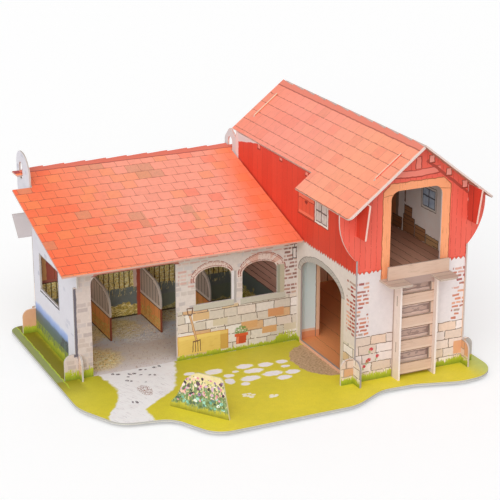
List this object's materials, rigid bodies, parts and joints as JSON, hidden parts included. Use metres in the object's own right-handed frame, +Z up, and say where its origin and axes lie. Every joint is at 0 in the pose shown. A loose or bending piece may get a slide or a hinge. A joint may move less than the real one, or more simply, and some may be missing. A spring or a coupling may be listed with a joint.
{
  "type": "toy barn",
  "caption": "Slot-together cardboard toy barn: an open-fronted stable with a lift-up roof beside a taller barn with a loft, ladder and base board.",
  "frame": {"origin": "middle of the whole toy's footprint box, on the surface that it stands on", "axes": "+X along the stable's front towards the barn, +Y to the back, +Z up"},
  "size_m": [0.4474, 0.3838, 0.264],
  "materials": {
    "lawn_print": "matt printed board",
    "stable_print": "matt printed board",
    "barn_print": "matt printed board",
    "timber_print": "matt printed board",
    "roof_print": "matt printed board",
    "scenery_print": "matt printed board"
  },
  "bodies": {
    "root": {"base_board": "lawn_print", "stable_end_wall": "stable_print", "stable_front_wall": "stable_print", "stable_back_wall": "stable_print", "stall_divider_1": "timber_print", "stall_divider_2": "timber_print", "stall_divider_3": "timber_print", "barn_roof_left": "roof_print", "barn_roof_right": "roof_print", "barn_left_wall": "barn_print", "barn_right_wall": "barn_print", "barn_front_wall": "barn_print", "barn_back_wall": "barn_print", "loft_floor": "timber_print", "ladder_front": "timber_print", "ladder_left_rail": "timber_print", "ladder_right_rail": "timber_print", "flower_card": "scenery_print"},
    "roof": {"stable_roof": "roof_print"}
  },
  "joints": [
    {"name": "stable_roof_lift", "type": "hinge", "parent": "root", "child": "roof", "pos_m": [0, 0.17598, 0.18529], "axis": [-1, 0, 0], "range_deg": [0, 110]}
  ]
}
